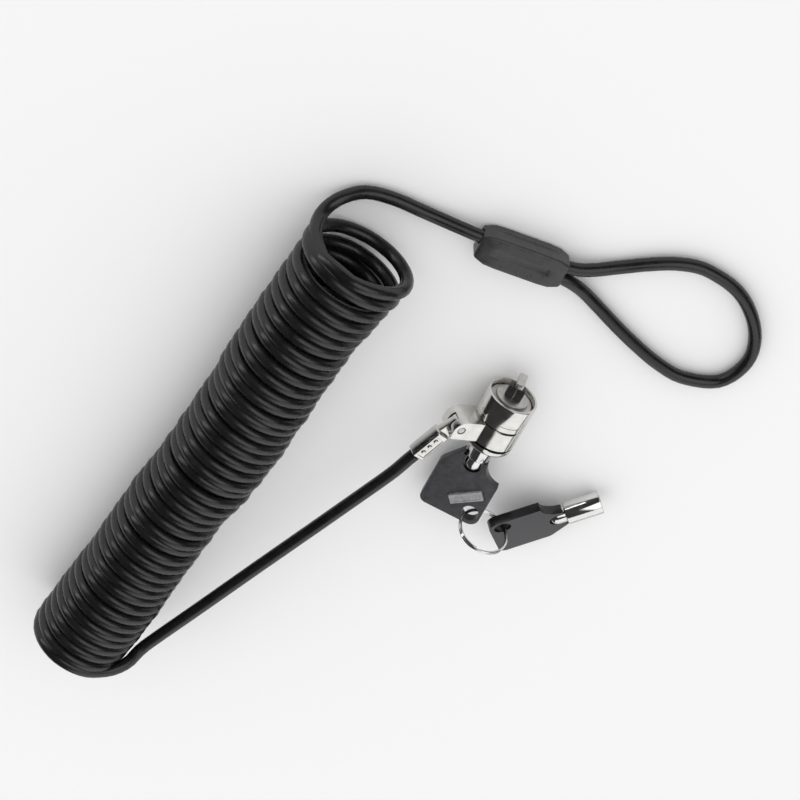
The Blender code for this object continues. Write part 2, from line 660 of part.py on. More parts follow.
def make_key_ring(first_hole, second_hole, parent):
    """A split ring that stands in both holes, its centre above the line between them."""
    chord = second_hole - first_hole
    rise = Vector(KEY_RING_RISE)
    rise = (rise - rise.dot(chord.normalized()) * chord.normalized()).normalized()
    centre = (first_hole + second_hole) / 2 + rise * math.sqrt(KEY_RING_RADIUS ** 2 - chord.length_squared / 4)
    frame = place_frame("key_ring_centre", parent.matrix_world.inverted()
                        @ axis_matrix(chord.cross(rise), chord, centre), parent)
    inner, outer = KEY_RING_RADIUS - KEY_RING_SECTION[0] / 2, KEY_RING_RADIUS + KEY_RING_SECTION[0] / 2
    half = KEY_RING_SECTION[1] / 2
    turned_part("key_ring", [
        (outer, half), (outer, -half), (inner, -half), (inner, half),
    ], "ring_nickel", frame, steps=48, closed=True)


def main():
    prepare_scene()
    make_cable()
    lock_axis = place_frame("lock_axis", Matrix.Rotation(math.radians(-90), 4, "X"))
    make_yoke()
    make_lock(lock_axis)
    plug_frame = make_plug(lock_axis)
    key_frame = place_frame("key_slide", Matrix.Identity(4), plug_frame)
    make_key("key", key_frame)
    spare_matrix = axis_matrix(SPARE_BOW_WAY, SPARE_SIDE_WAY, SPARE_TIP)
    spare_matrix = spare_matrix @ Matrix.Translation((0, 0, -KEY_TIP * MM))
    bpy.context.view_layer.update()
    first_hole = hole_place(key_frame.matrix_world)
    second_hole = hole_place(spare_matrix)
    ring_frame = place_frame("ring_swing", key_frame.matrix_world.inverted()
                             @ Matrix.Translation(first_hole * MM), key_frame)
    bpy.context.view_layer.update()
    make_key_ring(first_hole, second_hole, ring_frame)
    spare_swing = place_frame("spare_swing", ring_frame.matrix_world.inverted()
                              @ Matrix.Translation(second_hole * MM), ring_frame)
    bpy.context.view_layer.update()
    spare_frame = place_frame("spare_key_axis", spare_swing.matrix_world.inverted() @ spare_matrix, spare_swing)
    make_key("spare_key", spare_frame)


main()
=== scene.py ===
import json
import math
import random

import bpy
from mathutils import Matrix, Vector


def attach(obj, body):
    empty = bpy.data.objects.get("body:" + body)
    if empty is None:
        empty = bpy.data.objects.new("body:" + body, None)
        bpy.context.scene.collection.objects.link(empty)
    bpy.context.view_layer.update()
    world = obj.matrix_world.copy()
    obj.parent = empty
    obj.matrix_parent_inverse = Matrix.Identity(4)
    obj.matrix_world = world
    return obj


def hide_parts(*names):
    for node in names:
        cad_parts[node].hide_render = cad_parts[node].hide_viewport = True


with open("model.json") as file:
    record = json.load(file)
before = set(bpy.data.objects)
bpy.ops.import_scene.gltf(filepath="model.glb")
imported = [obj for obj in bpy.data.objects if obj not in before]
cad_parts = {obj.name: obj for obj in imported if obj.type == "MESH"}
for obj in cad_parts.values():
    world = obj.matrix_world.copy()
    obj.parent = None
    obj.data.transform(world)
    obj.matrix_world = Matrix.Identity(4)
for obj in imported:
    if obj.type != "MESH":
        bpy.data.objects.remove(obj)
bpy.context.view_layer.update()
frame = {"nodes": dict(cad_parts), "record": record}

mm = 0.001
floorZ = -7.9  # mm, the table the lock lies on
random.seed(7)


# small helpers

def deselectAll():
    if bpy.context.object and bpy.context.object.mode != "OBJECT":
        bpy.ops.object.mode_set(mode="OBJECT")
    bpy.ops.object.select_all(action="DESELECT")


def makeActive(piece):
    deselectAll()
    piece.select_set(True)
    bpy.context.view_layer.objects.active = piece


def newest(name):
    piece = bpy.context.object
    piece.name = name
    piece.data.name = name
    return piece


def bake(piece):
    # every modifier becomes mesh
    makeActive(piece)
    for step in list(piece.modifiers):
        bpy.ops.object.modifier_apply(modifier=step.name)


def softenEdges(piece, width, segments=3, angle=35):
    step = piece.modifiers.new("soften", "BEVEL")
    step.width = width * mm
    step.segments = segments
    step.limit_method = "ANGLE"
    step.angle_limit = math.radians(angle)
    bake(piece)


def cutWith(piece, tool, operation="DIFFERENCE"):
    step = piece.modifiers.new("cut", "BOOLEAN")
    step.operation = operation
    step.object = tool
    step.solver = "EXACT"
    bake(piece)
    bpy.data.objects.remove(tool, do_unlink=True)


def settle(piece, place):
    # the piece's place goes into its mesh, and its object stays at the origin
    piece.data.transform(place @ piece.matrix_world)
    piece.matrix_world = Matrix.Identity(4)


def shade(piece, angle=35):
    makeActive(piece)
    bpy.ops.object.shade_smooth_by_angle(angle=math.radians(angle))


def lathe(name, rings, sides=96, closed=False):
    # rings are (radius, station), walked from a circle by extruding and resizing it
    deselectAll()
    radius, station = rings[0]
    bpy.ops.mesh.primitive_circle_add(vertices=sides, radius=radius * mm, location=(0, 0, station * mm))
    piece = newest(name)
    makeActive(piece)
    bpy.ops.object.transform_apply(location=True)
    bpy.ops.object.mode_set(mode="EDIT")
    bpy.ops.mesh.select_all(action="SELECT")
    if not closed:
        bpy.ops.mesh.edge_face_add()
        bpy.ops.mesh.select_all(action="SELECT")
    for (r0, z0), (r1, z1) in zip(rings, rings[1:]):
        bpy.ops.mesh.extrude_region_move(TRANSFORM_OT_translate={"value": (0, 0, (z1 - z0) * mm)})
        bpy.ops.transform.resize(value=(r1 / r0, r1 / r0, 1), center_override=(0, 0, z1 * mm))
    bpy.ops.mesh.select_all(action="SELECT")
    bpy.ops.mesh.remove_doubles(threshold=0.000002)
    bpy.ops.mesh.normals_make_consistent(inside=False)
    bpy.ops.object.mode_set(mode="OBJECT")
    return piece


def block(name, size, centre=(0, 0, 0), turn=(0, 0, 0)):
    deselectAll()
    bpy.ops.mesh.primitive_cube_add(size=1, location=[c * mm for c in centre], rotation=turn)
    piece = newest(name)
    piece.scale = [s * mm for s in size]
    makeActive(piece)
    bpy.ops.object.transform_apply(location=True, rotation=True, scale=True)
    return piece


def rod(name, radius, low, high, at=(0, 0), sides=64, turn=None):
    deselectAll()
    bpy.ops.mesh.primitive_cylinder_add(
        vertices=sides, radius=radius * mm, depth=(high - low) * mm,
        location=(at[0] * mm, at[1] * mm, (low + high) / 2 * mm),
    )
    piece = newest(name)
    makeActive(piece)
    bpy.ops.object.transform_apply(location=True)
    if turn is not None:
        piece.data.transform(turn)
    return piece


def plate(name, points, low, high):
    # a flat outline, filled and made thick from low to high
    deselectAll()
    flat = bpy.data.curves.new(name, "CURVE")
    flat.dimensions = "2D"
    flat.fill_mode = "BOTH"
    flat.extrude = (high - low) / 2 * mm
    line = flat.splines.new("POLY")
    line.points.add(len(points) - 1)
    for point, (x, y) in zip(line.points, points):
        point.co = (x * mm, y * mm, 0, 1)
    line.use_cyclic_u = True
    piece = bpy.data.objects.new(name, flat)
    bpy.context.scene.collection.objects.link(piece)
    makeActive(piece)
    bpy.ops.object.convert(target="MESH")
    piece = bpy.context.object
    piece.data.transform(Matrix.Translation((0, 0, (low + high) / 2 * mm)))
    bpy.ops.object.mode_set(mode="EDIT")
    bpy.ops.mesh.select_all(action="SELECT")
    bpy.ops.mesh.remove_doubles(threshold=0.000005)
    bpy.ops.mesh.normals_make_consistent(inside=False)
    bpy.ops.object.mode_set(mode="OBJECT")
    return piece


def arc(centre, radius, start, end, steps):
    turns = [math.radians(start + (end - start) * k / steps) for k in range(steps + 1)]
    return [(centre[0] + radius * math.cos(t), centre[1] + radius * math.sin(t)) for t in turns]


def faceFrame(way, side, at):
    # Z along way, X along side made square to it
    zAxis = Vector(way).normalized()
    xAxis = (Vector(side) - Vector(side).dot(zAxis) * zAxis).normalized()
    turn = Matrix((xAxis, zAxis.cross(xAxis), zAxis)).transposed().to_4x4()
    return Matrix.Translation(Vector(at) * mm) @ turn


# camera

camera = {
    "place": (204.4, -379.6, 540.0),
    "right": (-0.917, -0.3987, 0.0),
    "back": (0.2509, -0.5771, 0.7771),
    "lens": 105.57,
}

eye = bpy.data.cameras.new("studioCamera")
eye.lens = camera["lens"]
eye.sensor_width = 36
eye.clip_start = 0.01
eyeObject = bpy.data.objects.new("studioCamera", eye)
bpy.context.scene.collection.objects.link(eyeObject)
eyeObject.matrix_world = faceFrame(camera["back"], camera["right"], camera["place"])
bpy.context.scene.camera = eyeObject
print("camera placed")


# cable

cable = {
    "radius": 2.0,
    "coilRadius": 13.5,
    "openEnd": (64.0, -23.6),
    "farEnd": (87.4, 143.0),
    "pitch": 4.046,
    "firstStation": -2.4,
    "firstAngle": 70.0,
    "turns": 42.76,
    "pointsPerTurn": 36,
    "step": 2.0,
}

loopRoute = [
    (68.3, -26.6, 20.3), (74.6, -27.5, 15.3), (77.2, -28.2, 7.6), (77.0, -29.4, 1.0),
    (75.4, -31.8, -3.0), (71.9, -35.4, -5.3), (66.5, -39.0, -5.9), (58.3, -40.0, -5.9),
    (50.1, -39.4, -5.9), (43.6, -39.1, -5.6), (37.5, -39.2, -4.7), (31.5, -39.25, -4.1),
    (18.0, -39.25, -4.1), (4.5, -39.25, -4.1), (-2.2, -40.3, -5.0), (-9.6, -43.8, -5.9),
    (-17.6, -48.5, -5.9), (-25.4, -52.0, -5.9), (-34.0, -53.1, -5.9), (-46.4, -49.4, -5.9),
    (-56.3, -40.0, -5.9), (-60.2, -29.0, -5.9), (-56.2, -18.8, -5.9), (-45.5, -15.6, -5.9),
    (-36.5, -17.2, -5.9), (-28.1, -20.4, -5.9), (-19.1, -24.6, -5.9), (-10.1, -29.3, -5.9),
    (-3.4, -32.9, -5.2), (2.0, -34.9, -4.3), (5.5, -35.25, -4.1), (9.0, -35.25, -4.1),
]
tailRoute = [
    (100.6, 143.5, 4.1), (100.9, 143.5, 9.9), (98.7, 143.8, 15.3), (94.4, 144.4, 19.3),
    (88.9, 145.2, 21.0), (83.6, 146.1, 20.5), (79.2, 146.2, 18.9), (74.8, 145.4, 16.9),
    (71.2, 142.6, 14.9), (69.3, 138.6, 13.0), (66.9, 134.5, 11.6), (57.2, 113.8, 10.9),
    (47.5, 93.0, 10.1), (37.8, 72.3, 9.4), (30.0, 55.6, 8.8), (23.9, 42.5, 8.2),
]


def smoothRoute(points, step):
    # evenly spaced points on a Catmull-Rom curve
    route = [Vector(p) for p in points]
    route = [2 * route[0] - route[1]] + route + [2 * route[-1] - route[-2]]
    fine = []
    for before, start, end, after in zip(route, route[1:], route[2:], route[3:]):
        for k in range(20):
            t = k / 20
            bend = 2 * before - 5 * start + 4 * end - after
            twist = 3 * start - before - 3 * end + after
            fine.append((2 * start + (end - before) * t + bend * t * t + twist * t ** 3) / 2)
    fine.append(route[-2])
    even = [fine[0]]
    for point in fine[1:-1]:
        if (point - even[-1]).length >= step:
            even.append(point)
    return even + [fine[-1]]


def between(turn, low, high):
    # 0 before low, 1 after high, smooth on the way
    t = min(1, max(0, (turn - low) / (high - low)))
    return t * t * (3 - 2 * t)


# how the slack coil swells and sags along its length: share of the length, extra radius, shift to the side
coilShape = [(0.0, 0.6, 0.0), (0.06, 0.8, 0.0), (0.14, 0.2, 0.5), (0.24, 0.3, 0.2),
             (0.34, 0.0, -0.8), (0.42, 0.0, -1.3),
             (0.52, -0.2, -1.2), (0.6, -0.5, -0.1), (0.72, -0.5, -0.2), (0.82, -0.1, -0.5), (0.9, 0.1, -0.3),
             (1.0, 0.0, 0.0)]


def shapeAt(share):
    for (s0, r0, d0), (s1, r1, d1) in zip(coilShape, coilShape[1:]):
        if share <= s1:
            t = between(share, s0, s1)
            return r0 + (r1 - r0) * t, d0 + (d1 - d0) * t
    return coilShape[-1][1:]


def coilPoints():
    openEnd = Vector((*cable["openEnd"], floorZ + cable["coilRadius"] + cable["radius"]))
    farEnd = Vector((*cable["farEnd"], openEnd.z))
    along = (farEnd - openEnd).normalized()
    side = Vector((along.y, -along.x, 0))
    up = Vector((0, 0, 1))
    count = round(cable["turns"] * cable["pointsPerTurn"])
    loose = [random.uniform(-1, 1) for _ in range(60)]
    slide = [random.uniform(-1, 1) for _ in range(60)]
    points = []
    for k in range(1, count):
        turn = k / cable["pointsPerTurn"]
        left = cable["turns"] - turn
        fade = between(turn, 0.3, 2.0) * between(left, 0.2, 2.0)
        ends = between(turn, -0.1, 0.6) * between(left, 0.0, 1.5)
        flare = between(turn, -0.1, 0.2) * (1 - between(turn, 0.75, 1.7))
        angle = math.radians(cable["firstAngle"] + 360 * turn)
        n = int(turn)
        mix = between(turn - n, 0, 1)
        swell = loose[n] * (1 - mix) + loose[n + 1] * mix
        drift = slide[n] * (1 - mix) + slide[n + 1] * mix
        wider, aside = shapeAt(turn / cable["turns"])
        radius = cable["coilRadius"] + 0.3 * swell * fade + wider * ends + 1.3 * flare
        station = cable["firstStation"] + cable["pitch"] * turn + 0.3 * drift * fade - 2.0 * flare
        station += 0.6 * math.sin(angle + 0.9 * turn) * swell * fade
        # a turn that is wider than the rest sags under its own weight, so it hardly stands taller
        extra = 0.15 * max(0, radius - cable["coilRadius"])
        upright = min(radius, cable["coilRadius"]) + extra
        points.append(openEnd + along * station + side * (radius * math.cos(angle) + aside * ends - 0.6 * flare)
                      + up * (upright * math.sin(angle) + extra))
    return points


armTurn = math.radians(19.0)  # the arm leans up from the table


def armPoint(reach, station, height=0.0):
    turn = armTurn
    return Vector((reach * math.cos(turn) - height * math.sin(turn), station,
                   reach * math.sin(turn) + height * math.cos(turn)))


ferrule = {"pin": (13.4, 18.9), "ahead": (0.42, 0.907), "offset": 0.9, "span": (5.2, 16.4), "size": (4.8, 4.4),
           "tongue": 1.1, "eye": 2.1}


def ferrulePoint(distance, aside=0.0):
    # a place on the ferrule's axis, in the arm's plane
    (px, py), (ax, ay) = ferrule["pin"], ferrule["ahead"]
    off = ferrule["offset"] + aside
    return (px + off * ay + distance * ax, py - off * ax + distance * ay)


rear = ferrule["span"][1] + 0.3
arrival = [armPoint(*ferrulePoint(d)) for d in (rear + 3.5, rear)]
tailPoints = smoothRoute(tailRoute + arrival, cable["step"])
loopPoints = smoothRoute(loopRoute[1:], cable["step"])
cablePath = tailPoints[::-1] + coilPoints()[::-1] + loopPoints

curve = bpy.data.curves.new("securityCable", "CURVE")
curve.dimensions = "3D"
curve.bevel_depth = cable["radius"] * mm
curve.bevel_resolution = 5
curve.use_fill_caps = True
line = curve.splines.new("POLY")
line.points.add(len(cablePath) - 1)
for point, place in zip(line.points, cablePath):
    point.co = (*(place * mm), 1)
securityCable = bpy.data.objects.new("securityCable", curve)
bpy.context.scene.collection.objects.link(securityCable)
for spline in curve.splines:
    spline.use_smooth = True


# moulded cover over the loop's crimp

cover = {"x": (4.5, 31.5), "y": -37.6, "size": (10.2, 7.6), "lead": -1.65, "stub": 2.35, "round": 2.9,
         "panel": (17.0, 3.4), "sunk": 0.2}


def makeCover():
    low, high = cover["x"]
    length = high - low
    wide, tall = cover["size"]
    body = block("loopCover", (length, wide, tall))
    makeActive(body)
    bpy.ops.object.mode_set(mode="EDIT")
    bpy.ops.mesh.select_all(action="SELECT")
    bpy.ops.mesh.subdivide(number_cuts=7)
    bpy.ops.object.mode_set(mode="OBJECT")
    for corner in body.data.vertices:
        reach = abs(corner.co.x) / (length / 2 * mm)
        pinch = 1 - 0.22 * (max(0, reach - 0.6) / 0.4) ** 2
        corner.co.y *= pinch
        corner.co.z *= pinch
    softenEdges(body, cover["round"], 6, 60)
    panelLong, panelWide = cover["panel"]
    for sign in (1, -1):
        flat = block("panelCutter", (panelLong, panelWide, 2), (0, 0, sign * (tall / 2 + 1 - cover["sunk"])))
        softenEdges(flat, 0.9, 5)
        cutWith(body, flat)
        aside = sign * (wide / 2 + 1 - cover["sunk"])
        edge = block("panelCutter", (panelLong, 2, panelWide * 0.62), (0, aside, 0))
        softenEdges(edge, 0.8, 5)
        cutWith(body, edge)
    along = Matrix.Rotation(math.radians(90), 4, "Y")
    for name, shift, start, end in (("leadHole", cover["lead"], -20, 20), ("stubHole", cover["stub"], -20, -6)):
        cutWith(body, rod(name, cable["radius"] + 0.25, start, end, (0, shift), turn=along))
    pocket = block("crimpPocket", (12.6, 9.0, 5.2))
    cutWith(body, pocket)
    settle(body, Matrix.Translation(Vector(((low + high) / 2, cover["y"], floorZ + tall / 2)) * mm))
    shade(body, 32)
    return body


loopCover = makeCover()
print("loop cover moulded")


# lock

lockPlace = Matrix.Rotation(math.radians(-90), 4, "X")
keyRoll = math.radians(194)  # how far the key and the T-bar are turned round the lock's axis
rollPlace = lockPlace @ Matrix.Rotation(keyRoll, 4, "Z")

lock = {
    "barrel": [(7.0, 10.5), (7.0, 6.75), (7.12, 6.45), (7.2, 6.4), (7.55, 6.4), (7.8, 6.5), (7.9, 6.75),
               (7.9, 12.9),
               (7.78, 13.0), (7.78, 13.15), (7.9, 13.25), (7.9, 14.9), (7.75, 15.1), (7.55, 15.2), (6.3, 15.2),
               (6.3, 22.9), (5.4, 22.9), (5.4, 10.5), (7.0, 10.5)],
    "rearCap": [(4.05, 23.2), (4.05, 25.1), (4.25, 25.35), (4.5, 25.4), (6.6, 25.4), (7.1, 25.3), (7.5, 25.05),
                (7.8, 24.6), (7.9, 24.1), (7.9, 23.35), (7.75, 23.2), (4.05, 23.2)],
    "nose": [(1.4, 10.2), (6.7, 10.2), (6.7, 8.15), (6.55, 8.0), (5.35, 8.0), (5.2, 7.85), (5.2, 7.1),
             (5.1, 6.88),
             (4.9, 6.8), (1.4, 6.8), (1.4, 10.2)],
    "guard": (5.2, 2.8, 2.9, 7.0),
    "tBar": (2.4, 6.4, 1.5),
    "spindle": (1.1, 19.0),
}


def makeNose():
    nose = lathe("nosePlate", lock["nose"], 96, closed=True)
    wide, deep, front, back = lock["guard"]
    guard = block("guardBlock", (wide, deep, back - front), (0, 0, (front + back) / 2))
    softenEdges(guard, 0.35, 3)
    for side in (1, -1):
        for k in range(5):
            x = (k - 2) * 0.95
            groove = block("groove", (0.32, 0.5, 4.2), (x, side * deep / 2, front + 1.9))
            cutWith(guard, groove)
    cutWith(guard, rod("spindleHole", 1.4, 0, 12))
    for piece in (nose, guard):
        settle(piece, rollPlace)
        shade(piece, 30)
    return nose, guard


def makeTBar():
    wide, long, thick = lock["tBar"]
    half, reach, corner = wide / 2, long / 2, 0.55
    outline = []
    for cx, cy, start in ((half - corner, reach - corner, 0), (-half + corner, reach - corner, 90),
                          (-half + corner, -reach + corner, 180), (half - corner, -reach + corner, 270)):
        outline += arc((cx, cy), corner, start, start + 90, 6)
    head = plate("tBarHead", outline, 0, thick)
    softenEdges(head, 0.16, 3)
    radius, end = lock["spindle"]
    cutWith(head, rod("spindle", radius, thick - 0.3, end), "UNION")
    settle(head, rollPlace)
    shade(head, 30)
    return head


lockBarrel = lathe("lockBarrel", lock["barrel"], 128, closed=True)
crossHole = rod("crossHole", 0.85, -9, 9, sides=24, turn=Matrix.Rotation(math.radians(90), 4, "Y"))
crossHole.data.transform(Matrix.Translation((0, 0, 15.9 * mm)))
cutWith(lockBarrel, crossHole)
settle(lockBarrel, lockPlace)
shade(lockBarrel, 30)
rearCap = lathe("rearCap", lock["rearCap"], 128, closed=True)
settle(rearCap, lockPlace)
shade(rearCap, 30)
nosePlate, guardBlock = makeNose()
tBarHead = makeTBar()
print("lock turned")


# swivel ring with its forked arm

armPlace = Matrix.Translation(armPoint(*ferrule["pin"]) * mm) @ Matrix.Rotation(-armTurn, 4, "Y")
arm = {"reach": 15.9, "halfHeight": 4.1, "corner": 3.8, "front": 15.6, "back": 22.4,
       "slotFloor": 10.1, "slotFront": 16.5, "slotHalf": 1.45,
       "band": [(6.6, 15.7), (6.6, 22.4), (6.8, 22.6), (7.65, 22.6), (7.9, 22.35), (7.9, 15.75), (7.65, 15.5),
                (6.8, 15.5), (6.6, 15.7)]}


def makeSwivel():
    outline = [(6.7, arm["back"]), (6.7, arm["front"])]
    outline += arc((arm["reach"] - arm["corner"], arm["front"] + arm["corner"]), arm["corner"], -90, 0, 14)
    outline += arc((arm["reach"] - 0.8, arm["back"] - 0.8), 0.8, 0, 90, 6)
    tines = plate("swivelArm", outline, -arm["halfHeight"], arm["halfHeight"])
    softenEdges(tines, 0.45, 4)
    slot = block("slot", (12, 12, 2 * arm["slotHalf"]), (arm["slotFloor"] + 6, arm["slotFront"] + 6, 0))
    cutWith(tines, slot)
    band = lathe("swivelRing", arm["band"], 128, closed=True)
    upright = Matrix.Rotation(math.radians(-90), 4, "X")
    band.data.transform(upright)
    cutWith(band, tines, "UNION")
    cutWith(band, rod("bandBore", 6.6, 14, 24, sides=128, turn=upright))
    hole = rod("pinHole", 1.3, -9, 9, ferrule["pin"], sides=48)
    cutWith(band, hole)
    settle(band, armPlace @ Matrix.Translation((-ferrule["pin"][0] * mm, -ferrule["pin"][1] * mm, 0)))
    shade(band, 30)
    return band


def makeFerrule():
    lean = math.atan2(ferrule["ahead"][1], ferrule["ahead"][0])
    (start, end), (wide, tall) = ferrule["span"], ferrule["size"]
    px, py = ferrule["pin"]
    sides = [ferrulePoint(start + 1.0, s) for s in (wide / 2 - 0.3, -wide / 2 + 0.3)]
    turn = math.degrees(lean) + 80
    outline = arc((0, 0), ferrule["eye"], turn, turn + 200, 28) + [(x - px, y - py) for x, y in sides]
    tongue = plate("tongue", outline, -ferrule["tongue"], ferrule["tongue"])
    softenEdges(tongue, 0.3, 3)
    body = block("cableFerrule", (end - start, wide, tall))
    softenEdges(body, 0.7, 5)
    for side in (1, -1):
        recess = block("recess", ((end - start) * 0.74, wide * 0.62, 1.0), (0.3, 0, side * (tall / 2 + 0.28)))
        softenEdges(recess, 0.3, 4)
        cutWith(body, recess)
        for k in (-1, 0, 1):
            stud = rod("stud", 0.72, -0.35, 0.35, sides=32)
            stud.data.transform(Matrix.Translation(((0.3 + 2.5 * k) * mm, 0, side * (tall / 2 - 0.2) * mm)))
            cutWith(body, stud, "UNION")
    mx, my = ferrulePoint((start + end) / 2)
    body.data.transform(Matrix.Translation(((mx - px) * mm, (my - py) * mm, 0)) @ Matrix.Rotation(lean, 4, "Z"))
    cutWith(body, tongue, "UNION")
    cutWith(body, rod("eyeHole", 1.3, -6, 6, sides=48))
    tx, ty = ferrulePoint(end)
    bore = rod("coreBore", 1.5, -8.8, 2, sides=32)
    bore.data.transform(Matrix.Translation(((tx - px) * mm, (ty - py) * mm, 0)) @ Matrix.Rotation(lean, 4, "Z")
                        @ Matrix.Rotation(math.radians(90), 4, "Y"))
    cutWith(body, bore)
    settle(body, armPlace)
    shade(body, 30)
    return body


swivelRing = makeSwivel()
cableFerrule = makeFerrule()
print("swivel and ferrule cut")


# keys

key = {
    "tip": 20.6, "step": 32.0, "neckEnd": 37.2, "barrel": 3.75, "bore": 3.1, "neck": 2.6,
    "thick": 3.0, "sides": (-9.3, 10.4), "back": 55.6, "hole": (6.9, 51.5), "holeRadius": 2.7,
    "badge": (3.3, 46.4), "badgeSize": (10.6, 3.2, 1.6), "badgeSlant": -39.0, "badgeProud": 1.0,
}


def headOutline():
    gap = 0.3
    (low, high), back, neck = key["sides"], key["back"], key["neck"] + gap
    wide, shoulder = key["barrel"] + gap, key["step"] + 2 * gap
    left = [(-wide, 31.0), (low + 0.5, 38.0), (low, 39.2), (low, back - 2.5)]
    far = arc((low + 2.5, back - 2.5), 2.5, 180, 90, 10) + arc((high - 3.0, back - 3.0), 3.0, 90, 0, 10)
    right = arc((high + 0.1, 32.3), 6.3, 92, 168, 16)
    bow = arc((0, key["neckEnd"] - key["neck"]), neck, 0, 180, 24)
    steps = [(wide, shoulder), (neck, shoulder)] + bow + [(-neck, shoulder), (-wide, shoulder)]
    return left + far[1:] + right + steps


def makeKey(prefix, place):
    tip, step, end = key["tip"], key["step"], key["neckEnd"]
    r, bore, neck = key["barrel"], key["bore"], key["neck"]
    dome = arc((0, end - neck), neck, 0, 88, 12)
    rings = [(0.05, 30.2), (bore, 30.2), (bore, tip + 0.15), (bore + 0.12, tip), (r - 0.2, tip),
             (r - 0.05, tip + 0.1), (r, tip + 0.3), (r, step - 0.5), (r - 0.15, step - 0.2), (r - 0.5, step),
             (neck + 0.1, step), (neck, step + 0.15)]
    barrel = lathe(prefix + "Barrel", rings + dome + [(0.05, end)], 96)
    makeActive(barrel)
    bpy.ops.object.mode_set(mode="EDIT")
    bpy.ops.mesh.select_all(action="DESELECT")
    bpy.ops.mesh.select_non_manifold()
    bpy.ops.mesh.edge_face_add()
    bpy.ops.mesh.select_all(action="SELECT")
    bpy.ops.mesh.normals_make_consistent(inside=False)
    bpy.ops.object.mode_set(mode="OBJECT")
    cutWith(barrel, block("notch", (0.9, 4, 2.4), (0, r, tip)))
    settle(barrel, place)
    shade(barrel, 30)

    flat = Matrix.Rotation(math.radians(90), 4, "X")
    thick = key["thick"] / 2
    head = plate(prefix + "Head", headOutline(), -thick, thick)
    softenEdges(head, 0.45, 4, 30)
    hole = rod("hole", key["holeRadius"], -4, 4, key["hole"], sides=64)
    cutWith(head, hole)
    head.data.transform(flat)
    x, station = key["badge"]
    badgePlace = (Matrix.Translation((x * mm, (thick + key["badgeProud"]) * mm, station * mm)) @ flat
                  @ Matrix.Rotation(math.radians(key["badgeSlant"]), 4, "Z"))
    long, deep, tall = key["badgeSize"]
    pocket = block("pocket", (long + 0.5, deep + 0.5, 4.0), (0, 0, tall + 0.3 - 2.0))
    pocket.data.transform(badgePlace)
    cutWith(head, pocket)
    settle(head, place)
    shade(head, 30)

    badge = block(prefix + "Badge", (long, deep, tall), (0, 0, tall / 2))
    softenEdges(badge, 0.18, 3)
    inset = block("inset", (long - 1.2, deep - 0.9, 1.0), (0, 0, -0.5 + 0.22))
    softenEdges(inset, 0.15, 2)
    cutWith(badge, inset)
    for k in range(7):
        bar = block("bar", (0.34, 1.25 - 0.3 * (k % 2), 0.5), ((k - 3) * 1.05, 0, 0.3))
        softenEdges(bar, 0.08, 2)
        cutWith(badge, bar, "UNION")
    settle(badge, place @ badgePlace)
    shade(badge, 30)
    return barrel, head, badge


spare = {"tip": (-44.2, 36.7, -3.9), "bow": (0.746, 0.653, 0.125), "side": (0.56, -0.72, 0.40)}
keyPlace = rollPlace
sparePlace = faceFrame(spare["bow"], spare["side"], spare["tip"]) @ Matrix.Translation((0, 0, -key["tip"] * mm))
keyPieces = makeKey("key", keyPlace)
sparePieces = makeKey("spareKey", sparePlace)

ring = {"radius": 7.8, "wire": 0.39, "rise": (0.0, 0.2, 0.98), "pitch": 0.8,
        "points": 232, "crossing": (0.92, 0.16), "wound": 0.985, "startAngle": 100}


def holeOf(place):
    x, station = key["hole"]
    return place @ Vector((x * mm, 0, station * mm)) / mm


def makeRing():
    first, second = holeOf(keyPlace), holeOf(sparePlace)
    chord = second - first
    rise = Vector(ring["rise"])
    rise = (rise - rise.dot(chord.normalized()) * chord.normalized()).normalized()
    centre = (first + second) / 2 + rise * math.sqrt(ring["radius"] ** 2 - chord.length_squared / 4)
    place = faceFrame(chord.cross(rise), chord, centre)
    wire = bpy.data.curves.new("splitRing", "CURVE")
    wire.dimensions = "3D"
    wire.bevel_depth = ring["wire"] * mm
    wire.bevel_resolution = 4
    wire.use_fill_caps = True
    spline = wire.splines.new("POLY")
    count = ring["points"]
    crossAt, crossLong = ring["crossing"]
    spline.points.add(count)
    for k, point in enumerate(spline.points):
        turn = 2 * k / count
        # the wire steps sideways where the two turns cross over
        step = min(1, max(0, (turn - crossAt) / crossLong))
        step = step * step * (3 - 2 * step)
        angle = 2 * math.pi * turn * ring["wound"] + math.radians(ring["startAngle"])
        spot = Vector((ring["radius"] * math.cos(angle), ring["radius"] * math.sin(angle),
                       (step - 0.5) * ring["pitch"])) * mm
        point.co = (*(place @ spot), 1)
    spline.use_smooth = True
    piece = bpy.data.objects.new("splitRing", wire)
    bpy.context.scene.collection.objects.link(piece)
    return piece


splitRing = makeRing()
print("keys and ring made")


# materials

def startMaterial(name, colour, roughness, metallic=0.0):
    material = bpy.data.materials.new(name)
    material.use_nodes = True
    nodes = material.node_tree.nodes
    shader = nodes["Principled BSDF"]
    shader.inputs["Base Color"].default_value = (*colour, 1)
    shader.inputs["Roughness"].default_value = roughness
    shader.inputs["Metallic"].default_value = metallic
    return material, shader


def addNode(material, kind, **values):
    node = material.node_tree.nodes.new(kind)
    for name, value in values.items():
        if name in node.inputs:
            node.inputs[name].default_value = value
        else:
            setattr(node, name, value)
    return node


